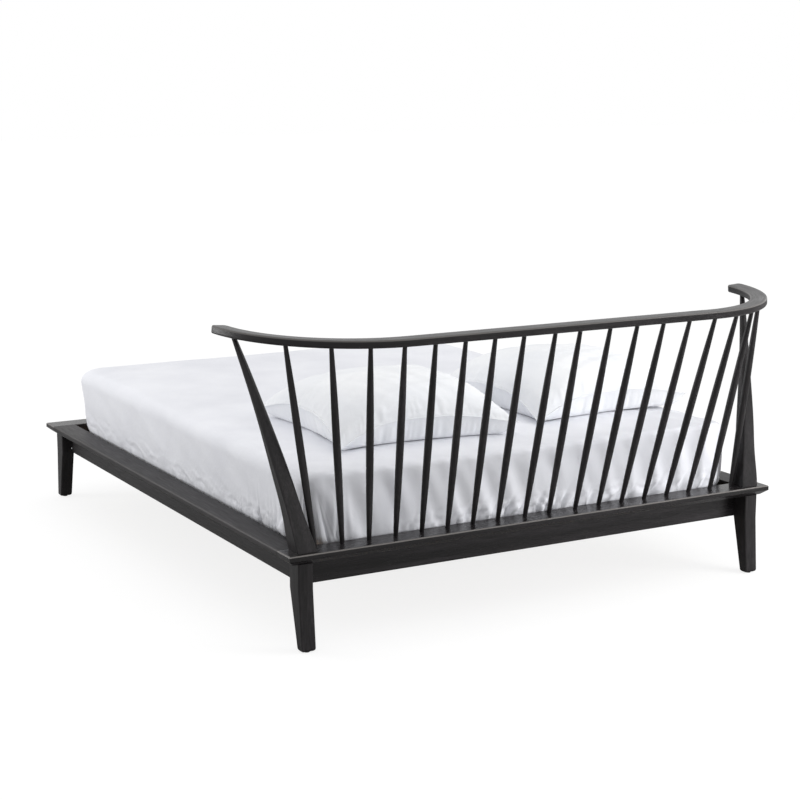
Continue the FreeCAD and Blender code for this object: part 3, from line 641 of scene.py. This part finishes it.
def sheet_points():
    """The sheet from its hem under the base up to the middle of the top, with folds pushed out along it."""
    columns = ring_columns(260, 60, 50, 366, per_corner=48)
    head_share = np.clip(columns[1] @ (0, 1), 0, 1) ** 2
    profile = mattress_profile(26, edge_round + (head_edge_round - edge_round) * head_share)
    hem = np.array([(0.095, mattress_low), (0.06, mattress_low - 0.0002), (0.04, mattress_low)])[..., None]
    rows = np.concatenate([np.broadcast_to(hem, (3, *profile.shape[1:])), profile])
    points = over_the_middle(stacked_rings(columns, rows), shares=(0.75, 0.5, 0.25))
    outward = columns[1]
    height = np.clip(points[..., 2] - mattress_low, 0, None)
    x, y = points[..., 0], points[..., 1].copy()
    toward = [np.clip(outward @ direction, 0, 1) ** 6 for direction in ((0, 1), (1, 0), (0, -1), (-1, 0))]
    push = head_folds(x, height) * toward[0] + side_folds(y, height) * toward[1]
    push += quiet_folds(x, height) * toward[2] + quiet_folds(y, height) * toward[3]
    push += corner_folds(np.arctan2(outward[:, 1], outward[:, 0]), height) * (1 - sum(toward))
    below_top = smooth_step(points[..., 2], mattress_high - crown_rise, mattress_high - 0.05)
    upright = smooth_step(height, 0.0, 0.02) * below_top
    proud = 0.006 + 0.010 * smooth_step(height, 0.028, 0.048)
    push = np.clip(push, 0.0024 - spare_at(height), proud) * upright
    points[..., :2] += outward[None] * push[..., None]
    flat = smooth_step(points[..., 2], mattress_high - 0.03, mattress_high - crown_rise)
    lift = top_folds(x, y) * flat
    puffed = foot_rise * smooth_step(y, 0.25, -0.6) * height / (mattress_high - mattress_low)
    points[..., 2] += np.clip(lift, -SHEET_GAP * 0.7, 0.0010) + puffed
    return bed_place(points)


def percale(name, cool, light, creased=0.16):
    """Washed cotton percale: matt, nearly white, with a faint thread and the soft creases of use."""
    material, tree, shader = blank_material(name)
    place = add(tree, "TexCoord").outputs["Object"]
    cloud = add(tree, "TexNoise", {"Vector": place, "Scale": 5.0, "Detail": 3.0}).outputs["Fac"]
    tree.links.new(tones(tree, cloud, (0.3, cool), (0.7, light)), shader.inputs["Base Color"])
    thread_x = add(tree, "TexWave", {"Vector": place, "Scale": 420.0, "Distortion": 1.0}, bands_direction="X")
    thread_y = add(tree, "TexWave", {"Vector": place, "Scale": 420.0, "Distortion": 1.0}, bands_direction="Y")
    weave = add(tree, "Math", {0: thread_x.outputs["Fac"], 1: thread_y.outputs["Fac"]}, operation="ADD")
    thread = add(tree, "Bump", {"Height": weave.outputs[0], "Strength": 0.10, "Distance": 0.0003}).outputs[0]
    crumpled = {"Vector": place, "Scale": 26.0, "Detail": 4.0, "Distortion": 1.2}
    crease = add(tree, "TexNoise", crumpled).outputs["Fac"]
    soft = add(tree, "Bump", {"Height": crease, "Strength": creased, "Distance": 0.006, "Normal": thread})
    tree.links.new(soft.outputs[0], shader.inputs["Normal"])
    shader.inputs["Roughness"].default_value = 0.88
    shader.inputs["Sheen Weight"].default_value = 0.15
    shader.inputs["Sheen Roughness"].default_value = 0.5
    return material


sheet_grid = sheet_points()
SHEET_CLOTH_M = 0.8 * MM
sheet_percale = percale("washed_percale_sheet", "#e2e3e9", "#ecedf2")
fitted_sheet = grid_piece("fitted_sheet", sheet_grid, caps=(False, True))
fitted_sheet.data.materials.append(sheet_percale)
cloth = fitted_sheet.modifiers.new("cloth", "SOLIDIFY")
cloth.thickness = SHEET_CLOTH_M
cloth.offset = -1.0
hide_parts("mattress")
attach(fitted_sheet, "mattress")

# %% [markdown]
# ## The pillows
# A pillowcase is two flat panels sewn together and filled until they swell. Its sides pull in between the
# corners, the seam arches from one corner up over the thick middle and down again, and below the seam the
# case drops almost straight to the mattress. That form is given by a formula first. Then each case is blown
# up by cloth simulation with a pressure inside it, which adds what no formula does: the uneven swell of the
# panels and the creases that run out of the corners. A cap on how far a point may move keeps the form. The
# fine puckers along the seam come last, as a formula again, because the pressure would press them flat.

# %% Form of a filled case
CASE_CELLS = (98, 80)
CROWD = 0.84
pillow_length, pillow_width = 0.650, 0.660
seam_rise, upper_rise = 80 * MM, 105 * MM
UNDERCUT_M = 0.032


def case_grid():
    """Two panels on one grid of u, v from -1 to 1, crowded towards the rim, which they share."""
    across, deep = CASE_CELLS
    lines = []
    for cells in CASE_CELLS:
        angle = np.linspace(-1, 1, cells + 1) * np.pi / 2 * CROWD
        lines.append(np.sin(angle) / np.sin(np.pi / 2 * CROWD))
    u, v = np.meshgrid(*lines, indexing="ij")
    inside = (np.abs(u) < 1 - 1e-9) & (np.abs(v) < 1 - 1e-9)
    lower_number = np.arange(u.size).reshape(u.shape)
    lower_number[inside] = u.size + np.arange(inside.sum())
    upper_faces = grid_faces(across + 1, deep + 1, wrap=False)
    uv = np.stack([u.ravel(), v.ravel()], axis=-1)
    uv = np.vstack([uv, uv[inside.ravel()]])
    upper = np.arange(len(uv)) < u.size
    return uv, upper, np.vstack([upper_faces[:, ::-1], lower_number.ravel()[upper_faces]])


def rim_distance(uv):
    """Metres from each point of the two panels to their nearest edge."""
    return ((1 - np.abs(uv)) * (pillow_length / 2, pillow_width / 2)).min(axis=1)


def case_form(uv, upper, pull, corner_rises, seed):
    """The filled case: pulled-in sides, an arched seam, a domed top, a lower face that drops to the bed."""
    u, v = uv.T
    corners = zip(corner_rises, corner_signs)
    corner_rise = sum(rise * (1 + a * u) * (1 + b * v) / 4 for rise, (a, b) in corners)
    x = u * (pillow_length / 2 - pull[0] * (1 - v**2))
    y = v * (pillow_width / 2 - pull[1] * (1 - u**2))
    corner = np.abs(u * v) ** 3
    seam = corner_rise + (seam_rise - corner_rise) * (1 - corner) ** 1.5
    plump = np.clip((1 - u**2) * (1 - v**2), 0, 1)
    dents = 1 + 0.06 * wander(u * 0.9 + v * 0.5, seed) + 0.06 * wander(v * 1.1 - u * 0.4, seed + 1)
    top = seam + upper_rise * np.sqrt(plump) * dents
    bottom = seam * (1 - np.clip(rim_distance(uv) / UNDERCUT_M, 0, 1)) ** 2
    return np.column_stack([x, y, np.where(upper, top, bottom)])


# %% Blow the case up
CASE_PRESSURE = 4.0
CASE_FRAMES = 20
MOVE_CAP_M = 0.008
PUCKER_M, PINCH_M, WRINKLE_M, GROOVE_M = 0.026, 0.018, 0.010, 0.006
SEAM_TUBE_M = 0.0022


def blown_up(places, faces):
    """The case after cloth simulation with a pressure inside and no gravity, each point's move capped."""
    mesh = bpy.data.meshes.new("case_form")
    mesh.from_pydata(places.tolist(), [], faces.tolist())
    form = bpy.data.objects.new("case_form", mesh)
    bpy.context.scene.collection.objects.link(form)
    sewn = form.modifiers.new("cloth", "CLOTH")
    sewn.settings.quality = 6
    sewn.settings.mass = 0.25
    sewn.settings.tension_stiffness = 25
    sewn.settings.compression_stiffness = 8
    sewn.settings.shear_stiffness = 6
    sewn.settings.bending_stiffness = 0.05
    sewn.settings.air_damping = 3
    sewn.settings.use_pressure = True
    sewn.settings.uniform_pressure_force = CASE_PRESSURE
    sewn.settings.effector_weights.gravity = 0
    sewn.point_cache.frame_end = CASE_FRAMES
    scene = bpy.context.scene
    for frame_number in range(1, CASE_FRAMES + 1):
        scene.frame_set(frame_number)
    shaped = form.evaluated_get(bpy.context.evaluated_depsgraph_get())
    swollen = np.zeros(len(places) * 3)
    shaped.data.vertices.foreach_get("co", swollen)
    scene.frame_set(1)
    bpy.data.objects.remove(form)
    move = swollen.reshape(-1, 3) - places
    far = np.linalg.norm(move, axis=1, keepdims=True)
    print("case moved", round(float(far.max()), 4), "m at most,", round(float(far.mean()), 4), "on average")
    return places + move * np.minimum(1, MOVE_CAP_M / np.maximum(far, 1e-9))


def puckered(points, uv, upper, seed):
    """Pinches above the seam and upright wrinkles below it, where the thread draws the cloth together."""
    u, v = uv.T
    along = np.where(1 - np.abs(u) < 1 - np.abs(v), v * pillow_width, u * pillow_length) / 2
    inwards = rim_distance(uv)
    mid_side = 1 - np.abs(u * v) ** 3
    ripple = pleat(along / PUCKER_M + 1.8 * wander(along * 5, seed + 2)) - 0.5
    ripple = ripple * (0.8 + 0.6 * wander(along * 9, seed + 3))
    reach = 0.020 + 0.012 * wander(along * 7, seed + 4)
    above = PINCH_M * ripple * np.exp(-((inwards / reach) ** 2)) * smooth_step(inwards, 0, 0.006) * mid_side
    groove = GROOVE_M * np.exp(-(((inwards - 0.005) / 0.004) ** 2))
    below = WRINKLE_M * ripple * np.sin(np.pi * np.clip(inwards / UNDERCUT_M, 0, 1)) * mid_side
    outward = points[:, :2] / np.maximum(np.linalg.norm(points[:, :2], axis=1), 1e-6)[:, None]
    side_move = outward * np.where(upper, 0, below - 0.5 * WRINKLE_M * (inwards > 0.001))[:, None]
    return points + np.column_stack([side_move, np.where(upper, -above - groove, 0)])


def laid(points, turn, middle, base):
    """Turn a case about the vertical, put it in place, and press flat what would sink into the mattress."""
    turned = np.array([[np.cos(turn), -np.sin(turn)], [np.sin(turn), np.cos(turn)]])
    place = points[:, :2] @ turned.T + np.array(middle)
    return np.column_stack([place, np.maximum(points[:, 2], 0) + base])


def rim_loop():
    """Numbers of the points along the sewn rim, once round."""
    across, deep = CASE_CELLS
    number = np.arange((across + 1) * (deep + 1)).reshape(across + 1, deep + 1)
    return np.concatenate([number[:-1, 0], number[-1, :-1], number[:0:-1, -1], number[0, :0:-1]])


def tube_points(line, radius, around=8):
    """A closed tube about a closed line: rings across the line's direction, set upright by the z axis."""
    ahead = np.roll(line, -1, axis=0) - np.roll(line, 1, axis=0)
    ahead /= np.linalg.norm(ahead, axis=1)[:, None]
    aside = np.cross(ahead, (0, 0, 1.0))
    aside /= np.linalg.norm(aside, axis=1)[:, None]
    above = np.cross(aside, ahead)
    angle = np.arange(around) * 2 * np.pi / around
    ring_shape = aside[:, None] * np.cos(angle)[None, :, None] + above[:, None] * np.sin(angle)[None, :, None]
    return line[:, None] + radius * ring_shape


def make_pillow(name, points, faces, material):
    """A pillow's mesh, smoothed once by a subdivision, and the piped seam round it."""
    mesh = bpy.data.meshes.new(name)
    mesh.from_pydata(points.tolist(), [], faces.tolist())
    mesh.update()
    mesh.shade_smooth()
    piece = bpy.data.objects.new(name, mesh)
    bpy.context.scene.collection.objects.link(piece)
    piece.data.materials.append(material)
    finer = piece.modifiers.new("finer", "SUBSURF")
    finer.levels = finer.render_levels = 1
    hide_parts(name.replace("_case", ""))
    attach(piece, name.replace("_case", ""))
    tube = tube_points(points[rim_loop()], SEAM_TUBE_M)
    closed = np.concatenate([tube, tube[:1]])
    welt = grid_piece(name.replace("_case", "_seam"), closed)
    welt.data.materials.append(material)
    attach(welt, name.replace("_case", ""))


# %% Two pillows
case_percale = percale("washed_percale_pillowcase", "#e8eaee", "#f1f2f4", creased=0.30)
pillow_base = mattress_high + 1.2 * MM
case_uv, case_upper, case_faces = case_grid()
pillow_plans = [
    ("pillow_right_case", (0.030, 0.036), (5, 44, 5, 32), 41, np.radians(-3.5), (0.2625, 0.5195)),
    ("pillow_left_case", (0.020, 0.016), (5, 45, 5, 5), 52, np.radians(2.0), (-0.497, 0.4227)),
]
for name, pull, corner_rises, seed, turn, (middle_x, middle_y) in pillow_plans:
    form = case_form(case_uv, case_upper, pull, np.array(corner_rises) * MM, seed)
    form = blown_up(form, case_faces)
    form = puckered(form, case_uv, case_upper, seed)
    resting = laid(form, turn, (middle_x, middle_y + head_shift), pillow_base)
    make_pillow(name, resting, case_faces, case_percale)

# %% [markdown]
# ## The floor and the light
# The bed stands on a plain pale floor under soft studio light. The air is bright above and dimmer at the
# sides, which lights the top of the bedding and fills the shadows. A side panel lights the long side, a low
# panel rakes across the head face so that its folds show, and a narrow panel high up puts a thin line of
# light on the rounded edges of the wood. Lamps and air together could also be one big dome, but then a dark
# edge would have nothing bright to mirror.

# %% Floor
FLOOR_GLOW = 0.82


def pale_floor():
    """Painted studio floor: matt and pale. The camera sees it white, with only a light shadow on it."""
    material, tree, shader = blank_material("painted_studio_floor")
    place = add(tree, "TexCoord").outputs["Object"]
    cloud = add(tree, "TexNoise", {"Vector": place, "Scale": 1.5, "Detail": 2.0}).outputs["Fac"]
    lit = tones(tree, cloud, (0.3, "#aaaaaa"), (0.7, "#aeaeae"))
    path = add(tree, "LightPath").outputs["Is Camera Ray"]
    colour = add(tree, "Mix", {0: path, 6: lit, 7: linear("#7d7d7d")}, data_type="RGBA").outputs[2]
    tree.links.new(colour, shader.inputs["Base Color"])
    glow = add(tree, "Math", {0: path, 1: FLOOR_GLOW}, operation="MULTIPLY").outputs[0]
    tree.links.new(glow, shader.inputs["Emission Strength"])
    shader.inputs["Emission Color"].default_value = linear("#ffffff")
    shader.inputs["Roughness"].default_value = 0.9
    shader.inputs["Specular IOR Level"].default_value = 0.0
    return material


FLOOR_HALF_M = 30.0
floor_line = np.linspace(-FLOOR_HALF_M, FLOOR_HALF_M, 13)
floor_x, floor_y = np.meshgrid(floor_line, floor_line, indexing="ij")
floor_grid = np.stack([floor_x, floor_y, np.zeros_like(floor_x)], axis=-1)
floor = grid_piece("floor", floor_grid, wrap=False)
floor.data.materials.append(pale_floor())

# %% Lamps and air
AIR_LOW, AIR_HIGH = 0.5, 1.35


def soft_panel(name, place, aim, size, power, mirrored=True):
    """A rectangular lamp of a size in metres, pointed at a place, that gloss mirrors or not."""
    lamp = bpy.data.lights.new(name, "AREA")
    lamp.shape = "RECTANGLE"
    lamp.size, lamp.size_y = size
    lamp.energy = power
    panel = bpy.data.objects.new(name, lamp)
    bpy.context.scene.collection.objects.link(panel)
    back = np.array(place, float) - np.array(aim, float)
    back /= np.linalg.norm(back)
    side = np.cross((0, 0, 1), back) if abs(back[2]) < 0.99 else np.array([1.0, 0, 0])
    side /= np.linalg.norm(side)
    turn = np.eye(4)
    turn[:3, 0], turn[:3, 1], turn[:3, 2], turn[:3, 3] = side, np.cross(back, side), back, place
    panel.matrix_world = Matrix(turn.tolist())
    panel.visible_glossy = mirrored


soft_panel("side_panel", (4.2, -2.6, 1.1), (0.8, -0.3, 0.4), (1.6, 1.6), 60)
soft_panel("head_panel", (-2.4, 3.0, 0.75), (-0.5, 0.95, 0.4), (1.6, 0.9), 80, mirrored=False)
soft_panel("edge_panel", (-1.9, 1.95, 2.6), (-0.3, 1.1, 0.3), (1.8, 0.45), 13)

world = bpy.data.worlds.new("studio_air")
bpy.context.scene.world = world
world.use_nodes = True
air = world.node_tree
background = air.nodes["Background"]
upward = add(air, "SeparateXYZ", {0: add(air, "TexCoord").outputs["Generated"]}).outputs["Z"]
raised = add(air, "Math", {0: upward, 1: 0.0}, operation="MAXIMUM").outputs[0]
squared = add(air, "Math", {0: raised, 1: 2.0}, operation="POWER").outputs[0]
brightening = {"Value": squared, 1: 0.0, 2: 1.0, 3: AIR_LOW, 4: AIR_HIGH}
sky = add(air, "MapRange", brightening, clamp=False).outputs[0]
path = add(air, "LightPath")
camera_ray, glossy_ray = path.outputs["Is Camera Ray"], path.outputs["Is Glossy Ray"]
seen = add(air, "Math", {0: camera_ray, 1: glossy_ray}, operation="MAXIMUM")
seen_all = add(air, "Math", {0: seen.outputs[0], 1: path.outputs["Is Transmission Ray"]}, operation="MAXIMUM")
strength = add(air, "MapRange", {"Value": seen_all.outputs[0], 1: 0.0, 2: 1.0, 3: sky, 4: 1.0})
air.links.new(strength.outputs[0], background.inputs["Strength"])
background.inputs["Color"].default_value = linear("#ffffff")
bpy.context.scene.view_settings.view_transform = "Standard"
